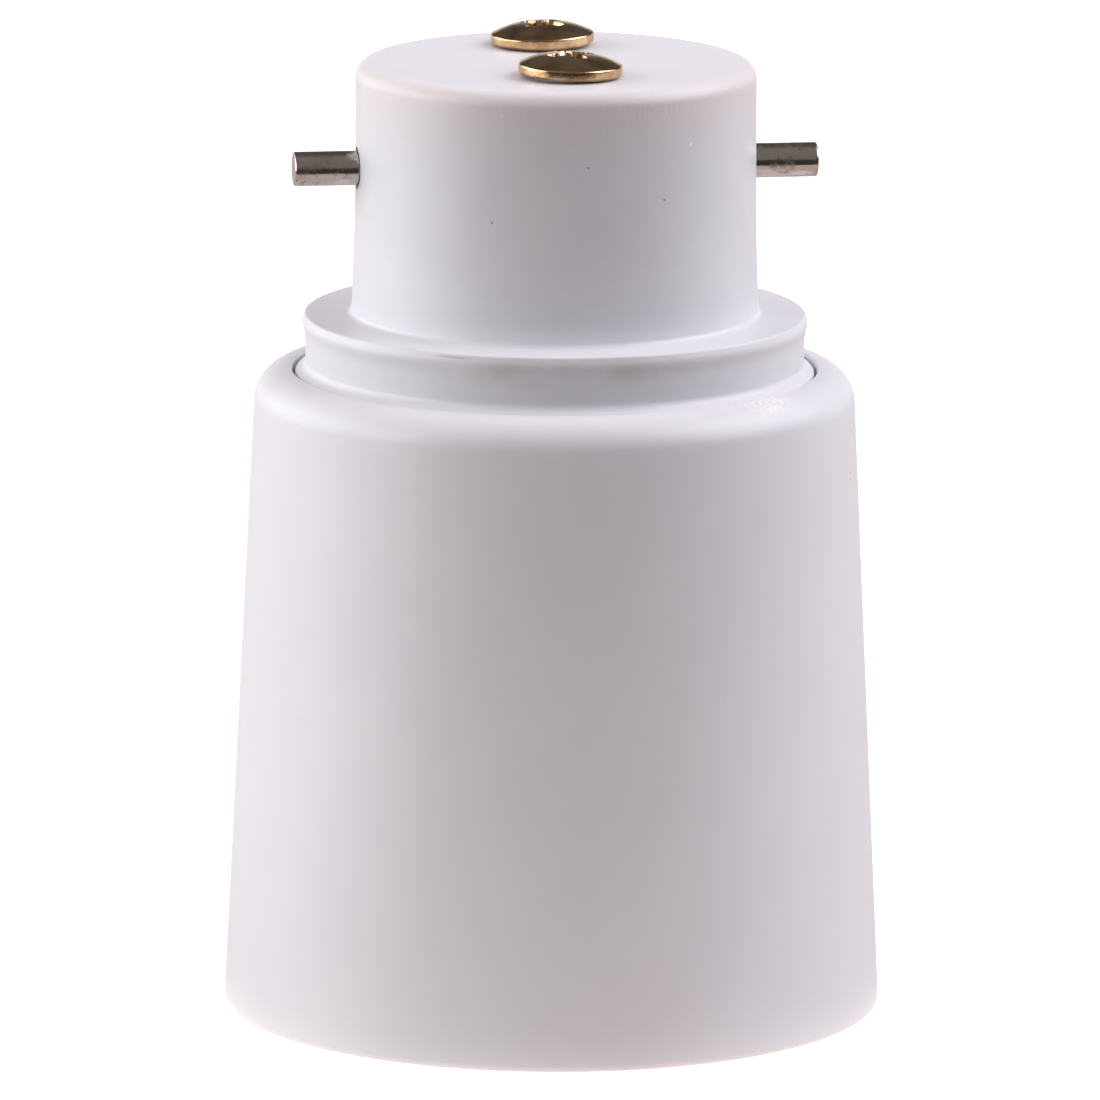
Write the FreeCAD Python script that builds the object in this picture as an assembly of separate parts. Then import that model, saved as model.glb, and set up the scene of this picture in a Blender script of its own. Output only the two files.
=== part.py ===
import FreeCAD, Part
import math
import os

# Lamp socket adapter: a bayonet cap (22 mm, two side pins, two end contacts) on top
# of a screw socket (27 mm rolled thread). It stands on the socket's rim.
# Millimetres. The origin is the middle of the rim, +Z is the common axis of cap and
# socket, the side pins lie along X and the two end contacts along Y.

V = FreeCAD.Vector
UP = V(0, 0, 1)

# Driving dimensions: heights, stacked from the rim up.
mouth_z = 4.5            # lower edge of the threaded shell
socket_depth = 24.0      # lower edge of the shell to the insulating floor
floor_t = 3.0
web_t = 2.7              # from the floor's top to the barrel's shoulder
lip_t = 1.45             # lip of the skirt, up to the seam
collar_h = 3.05          # seam to the collar's top
cap_len = 14.0           # collar's top to the flat end of the cap

# Driving dimensions: bayonet cap.
cap_d = 22.0             # across the side wall
cap_wall = 1.8
cap_end_t = 3.25
cap_edge = 0.5
cap_draft = 0.04         # per side, below the side pins
cap_flare = 0.16         # per side and more, towards the collar
cap_flare_h = 4.6
cap_foot = 0.3           # fillet where the cap meets the collar
pin_d = 1.9
pin_span = 29.0          # tip to tip
pin_drop = 5.75          # flat end of the cap down to the pin axis
pin_grip = 3.6           # root of the pin inside the wall
contact_inset = 5.6      # side wall to the axis of a contact screw
boss_d = 4.0             # low boss under a screw head
boss_h = 0.2

# Driving dimensions: screw socket.
thread_pitch = 3.629     # seven turns to 25.4 mm
thread_root_d = 26.7     # inside the shell, over the roots
thread_depth = 1.1       # root to crest, per side
entry_step = 0.25        # smooth mouth over the roots, per side
entry_len = 5.5
end_len = 2.6            # plain end of the shell, under the floor
shell_sheet = 0.35
flange_w = 2.35          # turned-in end of the shell
tab_w = 4.8

# Driving dimensions: barrel, collar and skirt.
barrel_wall = 1.2
barrel_edge = 0.9        # barrel below the shell, with the snap beads
seat_w = 0.825           # shoulder of the barrel under the skirt's lip
collar_flare = 0.62      # foot of the collar over its waist, per side
collar_lip = 0.16        # top of the collar over its waist, per side
collar_wall = 1.755
collar_roof = 2.0
collar_edge = 0.45
skirt_wall_top = 1.15
skirt_wall_rim = 1.4
skirt_flare = 1.7        # rim over the shoulder, per side
shoulder_edge = 1.5
rim_edge_out = 0.45
rim_edge_in = 0.3
rib_count = 8
rib_t = 1.2
hook_every = 2
hook_h = 1.5
bead_count = 4
bead_arc = 24.0          # degrees

# Driving dimensions: contacts and fasteners.
head_d = 5.7
head_h = 1.17
screw_d = 2.9
screw_over = 1.1         # screw past its nut
recess_depth = 1.15
nut_flats = 5.5
nut_t = 2.4
strip_t = 0.5
strip_w = 4.0
pad_d = 6.0              # round end of a strip, under the nut
leaf_t = 0.4
leaf_w = 5.0
leaf_arm = 6.2           # rivet to the lamp's axis
leaf_drop = 2.9          # floor down to the leaf's nose
rivet_d = 2.0
rivet_head_d = 3.3
rivet_back_d = 2.5
rivet_head_h = 0.55
rivet_back_h = 0.4

# Clearances.
sheet_gap = 0.05         # threaded shell in its barrel, per side
floor_gap = 0.10         # insulating floor in its barrel, per side
key_gap = 0.10           # notch of the floor round its key
lip_gap = 0.08           # collar's foot in the skirt's lip, per side
barrel_gap = 0.10        # barrel in the skirt, per side
seat_gap = 0.04          # between faces that a snap holds together
press_gap = 0.01         # pressed and riveted shanks in their holes, per side
hole_gap = 0.15          # screw shank in its hole, per side
nut_gap = 0.15           # nut to the leg of its strip
rivet_gap = 0.4          # rivet's back to the cap's inner wall

# Derived sizes.
floor_z = mouth_z + socket_depth
ledge_z = floor_z + floor_t
shelf_z = ledge_z + web_t
seam_z = shelf_z + lip_t
collar_top_z = seam_z + collar_h
height = collar_top_z + cap_len
barrel_z = mouth_z - barrel_edge
wide_z = collar_top_z - collar_roof
inner_top_z = height - cap_end_t
pin_z = height - pin_drop

root_r = thread_root_d / 2
crest_r = root_r - thread_depth
entry_r = root_r + entry_step
barrel_r = entry_r + shell_sheet + sheet_gap
barrel_out_r = barrel_r + barrel_wall
floor_r = barrel_r - floor_gap
collar_base_r = barrel_out_r - seat_w
waist_r = collar_base_r - collar_flare
collar_r = waist_r + collar_lip
wide_r = waist_r - collar_wall
lip_r = collar_base_r + lip_gap
skirt_bore_r = barrel_out_r + barrel_gap
shoulder_r = skirt_bore_r + skirt_wall_top
rim_r = shoulder_r + skirt_flare

cap_r = cap_d / 2
cavity_r = cap_r - cap_wall
pin_r = pin_d / 2
pin_root_r = pin_r + 0.2
pin_root_in = cap_r - 0.1 - pin_grip
pin_root_out = cap_r - 0.1
seat_z = height + boss_h
screw_y = cap_r - contact_inset
screw_r = screw_d / 2
rivet_r = rivet_d / 2
rivet_head_r = rivet_head_d / 2
rivet_back_r = rivet_back_d / 2
leaf_rivet_y = -leaf_arm
shell_rivet_y = wide_r - rivet_back_r - rivet_gap
flange_r = root_r - flange_w
tab_r = shell_rivet_y - rivet_head_r - 0.3


def span(a, b):
    return math.hypot(b[0] - a[0], b[1] - a[1])


def unit(a, b):
    """Direction from a to b, and the distance."""
    length = span(a, b)
    return ((b[0] - a[0]) / length, (b[1] - a[1]) / length, length)


def outline(points, place):
    """Closed face from corner points (a, b, rounding); place turns (a, b) into a 3-D point."""
    corners = []
    count = len(points)
    for i in range(count):
        p = points[i]
        to_prev = unit(p, points[i - 1])
        to_next = unit(p, points[(i + 1) % count])
        if p[2] <= 0:
            corners.append((p, p, p))
            continue
        dot = to_prev[0] * to_next[0] + to_prev[1] * to_next[1]
        half = math.acos(max(-1.0, min(1.0, dot))) / 2
        back = min(p[2] / math.tan(half), 0.47 * to_prev[2], 0.47 * to_next[2])
        radius = back * math.tan(half)
        mid = unit((0, 0), (to_prev[0] + to_next[0], to_prev[1] + to_next[1]))
        reach = radius / math.sin(half) - radius
        start = (p[0] + to_prev[0] * back, p[1] + to_prev[1] * back)
        end = (p[0] + to_next[0] * back, p[1] + to_next[1] * back)
        corners.append((start, (p[0] + mid[0] * reach, p[1] + mid[1] * reach), end))
    edges = []
    for i in range(count):
        start, middle, end = corners[i]
        if start is not end:
            edges.append(Part.Arc(place(start), place(middle), place(end)).toShape())
        following = corners[(i + 1) % count][0]
        if span(end, following) > 1e-6:
            edges.append(Part.makeLine(place(end), place(following)))
    return Part.Face(Part.Wire(edges))


def in_xz(p):
    return V(p[0], 0, p[1])


def in_yz(p):
    return V(0, p[0], p[1])


def turned(points):
    """Solid of revolution about the main axis from corner points (radius, z, rounding)."""
    return outline(points, in_xz).revolve(V(0, 0, 0), UP, 360)


def bent_strip(points, width):
    """Flat bar of even width across X from its side outline in the YZ plane."""
    face = outline(points, in_yz)
    face.translate(V(-width / 2, 0, 0))
    return face.extrude(V(width, 0, 0))


def block(x0, x1, y0, y1, z0, z1):
    return Part.makeBox(x1 - x0, y1 - y0, z1 - z0, V(x0, y0, z0))


def rod(radius, z0, z1, x=0.0, y=0.0):
    return Part.makeCylinder(radius, z1 - z0, V(x, y, z0), UP)


def around(shape, angle):
    copy = shape.copy()
    copy.rotate(V(0, 0, 0), UP, angle)
    return copy


# Outer skirt: tapered handle that hangs on the barrel's shoulder.
def skirt_inner_r(z):
    """Radius of the skirt's inner wall, which tapers from the rim to the lip."""
    low_r = rim_r - skirt_wall_rim
    return low_r + (skirt_bore_r - low_r) * z / shelf_z


def skirt_rib(hooked):
    """Rib that centres the barrel; a hooked one also snaps under the barrel's edge."""
    toe = barrel_z
    inside = [(skirt_bore_r, toe, 0)]
    if hooked:
        under = barrel_z - seat_gap
        toe = under - hook_h
        tip = barrel_r + barrel_wall * 0.35
        inside = [(skirt_bore_r, under, 0), (tip, under, 0), (tip, under - hook_h * 0.3, 0),
                  (skirt_bore_r + 0.2, toe, 0)]
    sunk = skirt_wall_top * 0.3
    points = [(skirt_bore_r, shelf_z, 0)] + inside + [
        (skirt_inner_r(toe) + sunk, toe, 0), (skirt_inner_r(shelf_z) + sunk, shelf_z, 0)]
    face = outline(points, in_xz)
    face.translate(V(0, -rib_t / 2, 0))
    return face.extrude(V(0, rib_t, 0))


def outer_skirt():
    under_lip = shelf_z + seat_gap
    wall = turned([
        (skirt_inner_r(0), 0, rim_edge_in), (rim_r, 0, rim_edge_out),
        (shoulder_r, seam_z, shoulder_edge), (lip_r, seam_z, 0.15),
        (lip_r, under_lip, 0), (skirt_bore_r, under_lip, 0)])
    ribs = []
    for i in range(rib_count):
        turn = 360.0 / rib_count * (i + 0.5)
        ribs.append(around(skirt_rib(i % hook_every == 0), turn))
    return wall.multiFuse(ribs).removeSplitter()


# Cap body: hollow bayonet cap, collar and barrel in one moulding.
def cap_walls():
    """The moulding's turned walls, from the barrel's edge to the cap's flat end."""
    land_z = pin_z + pin_r + 0.3
    return turned([
        (0, inner_top_z, 0), (cavity_r, inner_top_z, 0.6), (cavity_r, wide_z, 0),
        (wide_r, wide_z, 0.6), (wide_r, ledge_z, 0), (barrel_r, ledge_z, 0),
        (barrel_r, barrel_z, 0.25), (barrel_out_r, barrel_z, 0.25),
        (barrel_out_r, shelf_z, 0), (collar_base_r, shelf_z, 0),
        (collar_base_r, seam_z - 0.15, 0.2), (waist_r, seam_z + 1.35, 2.0),
        (collar_r, collar_top_z, collar_edge),
        (cap_r + cap_draft + cap_flare, collar_top_z, cap_foot),
        (cap_r + cap_draft, collar_top_z + cap_flare_h, 0), (cap_r, land_z, 0),
        (cap_r, height, cap_edge), (0, height, 0)])


def pin_boss(side):
    """Block inside the cap, under its end wall, that holds one side pin."""
    inner = pin_root_in - 0.7
    outer = cavity_r + cap_wall / 2
    half = pin_root_r + 1.35
    boss = block(inner, outer, -half, half, pin_z - pin_root_r - 1.4, inner_top_z + 0.5)
    return boss if side > 0 else around(boss, 180)


def mouth_bead(index):
    """Short bead inside the barrel's edge that the threaded shell snaps past."""
    low = barrel_z + 0.1
    top = mouth_z - seat_gap
    tip_r = entry_r + 0.1
    back_r = barrel_r + barrel_wall / 4
    profile = outline([
        (back_r, low, 0), (barrel_r, low, 0), (tip_r, low + (top - low) * 0.55, 0),
        (tip_r, top, 0), (back_r, top, 0)], in_xz)
    bead = profile.revolve(V(0, 0, 0), UP, bead_arc)
    return around(bead, 360.0 / bead_count * (index + 0.5) - bead_arc / 2)


def floor_key(gap):
    """Key under the ledge that stops the insulating floor from turning. With a gap it
    is the notch that the key needs in the floor."""
    half = 1.2 + gap
    deep = floor_t * 0.4 + gap
    key = block(wide_r - 1.0 - gap, barrel_out_r, -half, half, ledge_z - deep, ledge_z + 0.3)
    return key.common(rod(barrel_r + 0.3, ledge_z - deep, ledge_z + 0.3))


def pin_hole(side):
    """Press hole of one side pin, open to the outside of the cap."""
    start = pin_root_in - 0.1
    hole = Part.makeCylinder(pin_root_r + press_gap, cap_r + 1 - start, V(start, 0, pin_z), V(1, 0, 0))
    return hole if side > 0 else around(hole, 180)


def cap_body():
    added = [floor_key(0)]
    cut = []
    for side in (-1, 1):
        added.append(pin_boss(side))
        cut.append(pin_hole(side))
        added.append(rod(boss_d / 2, height - 0.5, seat_z, 0, side * screw_y))
        cut.append(rod(screw_r + hole_gap, inner_top_z - 1, seat_z + 1, 0, side * screw_y))
    for i in range(bead_count):
        added.append(mouth_bead(i))
    return cap_walls().multiFuse(added).cut(cut).removeSplitter()


# Insulating floor between the socket and the cap's hollow.
def socket_floor():
    disc = turned([
        (0, floor_z, 0), (floor_r, floor_z, 0), (floor_r, ledge_z, 0), (0, ledge_z, 0)])
    cut = [floor_key(key_gap)]
    for y in (leaf_rivet_y, shell_rivet_y):
        cut.append(rod(rivet_r + press_gap, floor_z - 1, ledge_z + 1, 0, y))
    return disc.cut(cut)


# Threaded shell: rolled sheet with a true helical thread.
def thread_arc_r():
    """Radius of the crest and root arcs that meet in a common tangent."""
    half = thread_pitch / 2
    return (half * half + thread_depth * thread_depth) / (4 * thread_depth)


def thread_r(turn, z, offset):
    """Radius of the rolled wall at a part of a turn and a height; offset is 0 on the
    inside and one sheet on the outside."""
    half = thread_pitch / 2
    along = (z - mouth_z - thread_pitch * turn) % thread_pitch
    away = min(along, thread_pitch - along)
    root_arc = thread_arc_r() + offset
    crest_arc = thread_arc_r() - offset
    if away < half * root_arc / (root_arc + crest_arc):
        return root_r - thread_arc_r() + math.sqrt(root_arc ** 2 - away ** 2)
    return crest_r + thread_arc_r() - math.sqrt(crest_arc ** 2 - (half - away) ** 2)


def fade(z, z0, z1):
    """Smooth step from 0 at z0 to 1 at z1."""
    t = max(0.0, min(1.0, (z - z0) / (z1 - z0)))
    return t * t * (3 - 2 * t)


def rolled_face(offset, low_z, high_z, low_r, high_r):
    """Threaded wall as one surface. The thread fades in above low_z and out below
    high_z, where the wall is round, so it joins the plain parts of the shell. The
    surface runs a little inside its poles, which swell and deepen make up for."""
    steps = 24
    rows_per_pitch = 12
    rows = int((high_z - low_z) / thread_pitch * rows_per_pitch)
    swell = 6 / (4 + 2 * math.cos(2 * math.pi / steps))
    deepen = 6 / (4 + 2 * math.cos(2 * math.pi / rows_per_pitch))
    middle_r = (root_r + crest_r) / 2 + offset
    run_out = 0.45 * thread_pitch
    poles = []
    for i in range(rows + 1):
        z = low_z + (high_z - low_z) * i / rows
        start = fade(z, low_z, low_z + run_out)
        stop = 1 - fade(z, high_z - run_out, high_z)
        ring = []
        for k in range(steps):
            turn = k / steps
            r = middle_r + (thread_r(turn, z, offset) - middle_r) * deepen
            r = (low_r + offset) * (1 - start) + r * start
            r = (high_r + offset) * (1 - stop) + r * stop
            angle = 2 * math.pi * turn
            ring.append(V(r * swell * math.cos(angle), r * swell * math.sin(angle), z))
        poles.append(ring)
    surface = Part.BSplineSurface()
    surface.buildFromPolesMultsKnots(
        poles, [4] + [1] * (rows - 3) + [4], [1] * (steps + 1),
        list(range(rows - 1)), list(range(steps + 1)), False, True, 3, 3)
    return surface.toShape()


def rim_edge(face, z):
    """The round edge of a wall surface at one height."""
    for edge in face.Edges:
        box = edge.BoundBox
        if abs(box.ZMin - z) < 1e-4 and abs(box.ZMax - z) < 1e-4:
            return Part.Wire([edge])
    raise ValueError("no round edge at this height")


def rolled_tube(low_z, high_z, low_r, high_r):
    """Threaded length of the shell as a closed tube."""
    inside = rolled_face(0.0, low_z, high_z, low_r, high_r)
    outside = rolled_face(shell_sheet, low_z, high_z, low_r, high_r)
    ends = []
    for z in (low_z, high_z):
        ends.append(Part.Face([rim_edge(outside, z), rim_edge(inside, z)]))
    skin = Part.makeShell([inside, outside] + ends)
    skin.sewShape()
    tube = Part.makeSolid(skin)
    if tube.Volume < 0:
        tube.reverse()
    return tube


def threaded_shell():
    """Rolled shell: smooth mouth, thread, and a flanged end with a tab for its rivet."""
    low_z = mouth_z + entry_len
    high_z = floor_z - end_len
    end_r = root_r - 0.2
    mouth_out = entry_r + shell_sheet
    end_out = end_r + shell_sheet
    under = floor_z - shell_sheet
    entry = turned([
        (entry_r, mouth_z, 0), (mouth_out, mouth_z, 0), (mouth_out, low_z, 0), (entry_r, low_z, 0)])
    end = turned([
        (end_r, high_z, 0), (end_out, high_z, 0), (end_out, floor_z, 0.6),
        (flange_r, floor_z, 0), (flange_r, under, 0), (end_r, under, 0.25)])
    end = end.fuse(block(-tab_w / 2, tab_w / 2, tab_r, flange_r + flange_w / 3, under, floor_z))
    end = end.cut(rod(rivet_r + press_gap, under - 1, floor_z + 1, 0, shell_rivet_y))
    return rolled_tube(low_z, high_z, entry_r, end_r).multiFuse([entry, end], 1e-4)


# Centre contact: sprung leaf riveted under the floor.
def centre_contact():
    """Leaf in side view: foot against the floor, bend, slope, rounded nose, turned-up end."""
    top = floor_z
    low = floor_z - leaf_t
    nose = floor_z - leaf_drop
    back = leaf_rivet_y - rivet_head_r - 0.35
    bend = leaf_rivet_y + rivet_head_r + 0.25
    tip = leaf_drop * 0.41
    leaf = bent_strip([
        (back, low, 0.12), (bend, low, 0.4), (-1.0, nose, 1.2), (1.1, nose + 0.1, 0.8),
        (2.4, nose + tip, 0), (2.1, nose + tip + leaf_t * 0.8, 0), (0.9, nose + leaf_t + 0.12, 0.5),
        (-0.8, nose + leaf_t, 0.9), (bend + 0.25, top, 0.8), (back, top, 0.12)], leaf_w)
    return leaf.cut(rod(rivet_r + press_gap, low - 1, top + 1, 0, leaf_rivet_y))


# Contact screws, nuts and strips.
def cross_recess(top):
    """Crossed tapered slots and a blunt centre, sunk from the head's top."""
    half = head_d * 0.28
    cutters = [Part.makeCone(0.35, 0.85, recess_depth + 0.3, V(0, 0, top - recess_depth), UP)]
    for turn in (0, 90):
        slot = outline([
            (-half, top + 0.3, 0), (-half * 0.35, top - recess_depth, 0),
            (half * 0.35, top - recess_depth, 0), (half, top + 0.3, 0)], in_xz)
        slot.translate(V(0, -0.33, 0))
        cutters.append(around(slot.extrude(V(0, 0.66, 0)), turn))
    return cutters


def contact_screw(side, turn):
    """Oval cross-head screw; its head is an end contact of the cap."""
    r = head_d / 2
    top = seat_z + head_h
    tip = inner_top_z - strip_t - nut_t - screw_over
    screw = turned([
        (0, tip, 0), (screw_r - 0.35, tip, 0), (screw_r, tip + 0.35, 0), (screw_r, seat_z, 0),
        (r - 0.1, seat_z, 0), (r, seat_z + 0.12, 0.02), (r, seat_z + head_h * 0.47, 0.6),
        (r * 0.61, top - 0.13, 3.5), (0, top, 0)])
    screw = around(screw.cut(cross_recess(top)), turn)
    screw.translate(V(0, side * screw_y, 0))
    return screw


def contact_nut(side):
    """Hexagon nut that pulls the strip against the cap's end wall."""
    top = inner_top_z - strip_t
    low = top - nut_t
    corner = nut_flats / 2 / math.cos(math.pi / 6)
    ring = []
    for i in range(7):
        angle = math.pi / 3 * i
        ring.append(V(corner * math.cos(angle), corner * math.sin(angle), low))
    prism = Part.Face(Part.makePolygon(ring)).extrude(V(0, 0, nut_t))
    cone = Part.makeCone(corner - 0.3, corner - 0.3 + nut_t, nut_t, V(0, 0, low), UP)
    nut = prism.common(cone).cut(rod(screw_r + press_gap, low - 1, top + 1))
    nut.translate(V(0, side * screw_y, 0))
    return nut


def contact_strip(side, rivet_y):
    """Strip from a contact screw down the cap's hollow to a rivet on the floor. It is
    drawn on the +Y side and turned half round for the front one."""
    top = inner_top_z
    foot = ledge_z
    leg = screw_y - nut_flats / 2 - nut_gap
    reach = abs(rivet_y)
    end = reach + rivet_back_r + 0.1
    outer_bend = strip_t + 0.15
    strip = bent_strip([
        (leg - strip_t, foot, outer_bend), (end, foot, 0), (end, foot + strip_t, 0),
        (leg, foot + strip_t, 0.15), (leg, top - strip_t, 0.15), (screw_y, top - strip_t, 0),
        (screw_y, top, 0), (leg - strip_t, top, outer_bend)], strip_w)
    strip = strip.fuse(rod(pad_d / 2, top - strip_t, top, 0, screw_y))
    strip = strip.cut([
        rod(screw_r + hole_gap, top - 2, top + 2, 0, screw_y),
        rod(rivet_r + press_gap, foot - 1, foot + 2, 0, reach)])
    return (strip if side > 0 else around(strip, 180)).removeSplitter()


def rivet(y, under):
    """Rivet through a contact, the floor and a strip: round head below, flat back above."""
    over = ledge_z + strip_t
    pin = turned([
        (0, under - rivet_head_h, 0), (rivet_head_r, under - rivet_head_h, 0.45),
        (rivet_head_r, under, 0), (rivet_r, under, 0), (rivet_r, over, 0),
        (rivet_back_r, over, 0), (rivet_back_r, over + rivet_back_h, 0),
        (0, over + rivet_back_h, 0)])
    pin.translate(V(0, y, 0))
    return pin


# Side pins of the bayonet cap.
def bayonet_pin(side):
    """Pressed-in pin: thicker root inside the wall, plain round outside."""
    pin = turned([
        (0, pin_root_in, 0), (pin_root_r, pin_root_in, 0), (pin_root_r, pin_root_out, 0),
        (pin_r, pin_root_out, 0), (pin_r, pin_span / 2, 0.12), (0, pin_span / 2, 0)])
    pin.rotate(V(0, 0, 0), V(0, 1, 0), 90 * side)
    pin.translate(V(0, 0, pin_z))
    return pin


def export(name, shape):
    if len(shape.Solids) == 1:
        shape = shape.Solids[0]
    shape.exportStep("parts/" + name + ".step")
    print(name, shape.ShapeType, shape.isValid(), round(shape.Volume, 2), len(shape.Solids))


os.makedirs("parts", exist_ok=True)
export("outer_skirt", outer_skirt())
export("cap_body", cap_body())
export("socket_floor", socket_floor())
export("threaded_shell", threaded_shell())
export("centre_contact", centre_contact())
for name, side, turn, target in (
        ("front", -1, 20, leaf_rivet_y), ("rear", 1, 50, shell_rivet_y)):
    export("contact_screw_" + name, contact_screw(side, turn))
    export("contact_nut_" + name, contact_nut(side))
    export("contact_strip_" + name, contact_strip(side, target))
export("contact_rivet", rivet(leaf_rivet_y, floor_z - leaf_t))
export("shell_rivet", rivet(shell_rivet_y, floor_z - shell_sheet))
export("bayonet_pin_left", bayonet_pin(-1))
export("bayonet_pin_right", bayonet_pin(1))
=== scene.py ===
"""Lamp socket adapter: a bayonet cap with two pins and two contact screws on top, and a
screw lamp socket inside a tapered skirt below. It stands on the skirt's rim."""

import math

import bmesh
import bpy
from mathutils import Matrix, Vector


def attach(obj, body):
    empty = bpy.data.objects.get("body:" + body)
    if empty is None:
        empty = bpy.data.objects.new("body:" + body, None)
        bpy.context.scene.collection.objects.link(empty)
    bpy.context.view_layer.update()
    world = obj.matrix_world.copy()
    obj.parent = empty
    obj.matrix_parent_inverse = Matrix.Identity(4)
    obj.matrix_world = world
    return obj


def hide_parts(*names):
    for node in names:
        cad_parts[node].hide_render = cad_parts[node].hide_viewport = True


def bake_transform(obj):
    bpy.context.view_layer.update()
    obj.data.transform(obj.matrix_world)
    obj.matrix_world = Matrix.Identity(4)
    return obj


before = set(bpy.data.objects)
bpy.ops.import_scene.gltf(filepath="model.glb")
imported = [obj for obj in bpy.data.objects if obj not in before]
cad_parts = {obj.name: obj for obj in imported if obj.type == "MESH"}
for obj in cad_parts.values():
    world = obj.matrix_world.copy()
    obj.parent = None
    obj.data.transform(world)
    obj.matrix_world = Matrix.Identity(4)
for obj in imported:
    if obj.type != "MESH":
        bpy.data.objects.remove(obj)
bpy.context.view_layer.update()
MM = 0.001


# Outer skirt: the tapered handle, injection moulded in white PBT in one piece. It hangs on
# the barrel's shoulder under its turned-in lip; inside, eight ribs centre the barrel and
# every second one ends in a hook that snaps under it.
rim_r = 18.15
shoulder_r = 16.45
shoulder_round = 1.85
seam_z = 35.65
shelf_z = 34.2
snap_gap = 0.04
lip_under_z = shelf_z + snap_gap
lip_r = 14.455
skirt_bore_r = 15.3
skirt_rim_wall = 1.4
rib_t = 1.2
rib_root = 0.35
ribs_of_a_kind = 4
hooked_rib_turn = 22.5
plain_rib_turn = 67.5
rib_toe_z = 3.6
hook_top_z = 3.56
hook_low_z = 2.06
hook_tip_r = 14.42
hook_face_h = 0.45
hook_heel = 0.2
edge_share = 0.94
degrees_a_step = 6
crease_degrees = 32
axis_r = 1e-6
weld = 1e-7


def rounded(corners, longest):
    """Closed outline from corners (a, b, rounding), in steps of at most that length. Where
    an edge is too short for the roundings at its ends, they share it by their sizes."""
    outline = []
    count = len(corners)
    for i in range(count):
        p = Vector(corners[i][:2])
        own = corners[i][2]
        if own <= 0:
            outline.append(p)
            continue
        last, following = corners[i - 1], corners[(i + 1) % count]
        before = Vector(last[:2]) - p
        after = Vector(following[:2]) - p
        half = before.angle(after) / 2
        back = min(own / math.tan(half), edge_share * before.length * own / (own + last[2]),
                   edge_share * after.length * own / (own + following[2]))
        radius = back * math.tan(half)
        inward = (before.normalized() + after.normalized()).normalized()
        centre = p + inward * radius / math.sin(half)
        start = p + before.normalized() * back - centre
        end = p + after.normalized() * back - centre
        sweep = start.angle_signed(end)
        steps = max(3, round(abs(math.degrees(sweep)) / degrees_a_step))
        for k in range(steps + 1):
            outline.append(centre + Matrix.Rotation(-sweep * k / steps, 2) @ start)
    split = []
    for i, p in enumerate(outline):
        q = outline[(i + 1) % len(outline)]
        pieces = max(1, math.ceil((q - p).length / longest))
        on_axis = p.x < axis_r and q.x < axis_r
        split += [p] if on_axis else [p.lerp(q, k / pieces) for k in range(pieces)]
    return split


def crease(mesh):
    """Smooth shading, with the real edges kept sharp."""
    mesh.shade_smooth()
    mesh.set_sharp_from_angle(angle=math.radians(crease_degrees))


def mesh_object(name, verts, faces):
    """Object at the origin from points in millimetres, with its faces pointing outwards."""
    mesh = bpy.data.meshes.new(name)
    mesh.from_pydata([Vector(v) * MM for v in verts], [], faces)
    shaped = bmesh.new()
    shaped.from_mesh(mesh)
    bmesh.ops.remove_doubles(shaped, verts=shaped.verts, dist=weld)
    bmesh.ops.recalc_face_normals(shaped, faces=shaped.faces)
    shaped.to_mesh(mesh)
    shaped.free()
    crease(mesh)
    obj = bpy.data.objects.new(name, mesh)
    bpy.context.scene.collection.objects.link(obj)
    return obj


def turned(name, corners, facets=240, longest=1.0):
    """Closed body turned about the axis from its outline (radius, height, rounding)."""
    outline = rounded(corners, longest)
    verts = []
    for p in outline:
        for k in range(facets):
            angle = 2 * math.pi * k / facets
            verts.append((p.x * math.cos(angle), p.x * math.sin(angle), p.y))
    faces = []
    rings = len(outline)
    for i in range(rings):
        j = (i + 1) % rings
        low, high = outline[i].x < axis_r, outline[j].x < axis_r
        if low and high:
            continue
        a, b = i * facets, j * facets
        for k in range(facets):
            m = (k + 1) % facets
            if low:
                faces.append((a, b + m, b + k))
            elif high:
                faces.append((a + k, a + m, b))
            else:
                faces.append((a + k, a + m, b + m, b + k))
    return mesh_object(name, verts, faces)


def slab(name, corners, thick, along="y", longest=50.0):
    """Flat piece of even thickness, centred, whose outline lies in the XZ plane, or in the
    YZ plane where its thickness runs along x."""
    outline = rounded(corners, longest)
    count = len(outline)
    verts = []
    for side in (-thick / 2, thick / 2):
        for p in outline:
            verts.append((p.x, side, p.y) if along == "y" else (side, p.x, p.y))
    faces = [tuple(range(count)), tuple(range(2 * count - 1, count - 1, -1))]
    for i in range(count):
        j = (i + 1) % count
        faces.append((i, j, count + j, count + i))
    return mesh_object(name, verts, faces)


def add(tree, kind, inputs=None, **settings):
    """Adds a node with its settings. An input is a plain value, another node's output, or
    another node, which gives its first output."""
    made = tree.nodes.new(kind)
    for name, value in settings.items():
        setattr(made, name, value)
    for key, value in (inputs or {}).items():
        if isinstance(value, bpy.types.Node):
            value = value.outputs[0]
        if isinstance(value, bpy.types.NodeSocket):
            tree.links.new(value, made.inputs[key])
        else:
            made.inputs[key].default_value = value
    return made


def shape_tree(title, sizes):
    """Geometry tree with its named inputs; returns the tree, its inputs and its output."""
    tree = bpy.data.node_groups.new(title, "GeometryNodeTree")
    tree.interface.new_socket("Geometry", in_out="INPUT", socket_type="NodeSocketGeometry")
    for name, kind in sizes.items():
        tree.interface.new_socket(name, in_out="INPUT", socket_type="NodeSocket" + kind)
    tree.interface.new_socket("Material", in_out="INPUT", socket_type="NodeSocketMaterial")
    tree.interface.new_socket("Geometry", in_out="OUTPUT", socket_type="NodeSocketGeometry")
    given = tree.nodes.new("NodeGroupInput").outputs
    return tree, given, tree.nodes.new("NodeGroupOutput")


def close_tree(tree, given, result, shape):
    """Ends a tree in real geometry with its material."""
    real = add(tree, "GeometryNodeRealizeInstances", {0: shape})
    painted = add(tree, "GeometryNodeSetMaterial", {0: real, 2: given["Material"]})
    tree.links.new(painted.outputs[0], result.inputs[0])


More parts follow.
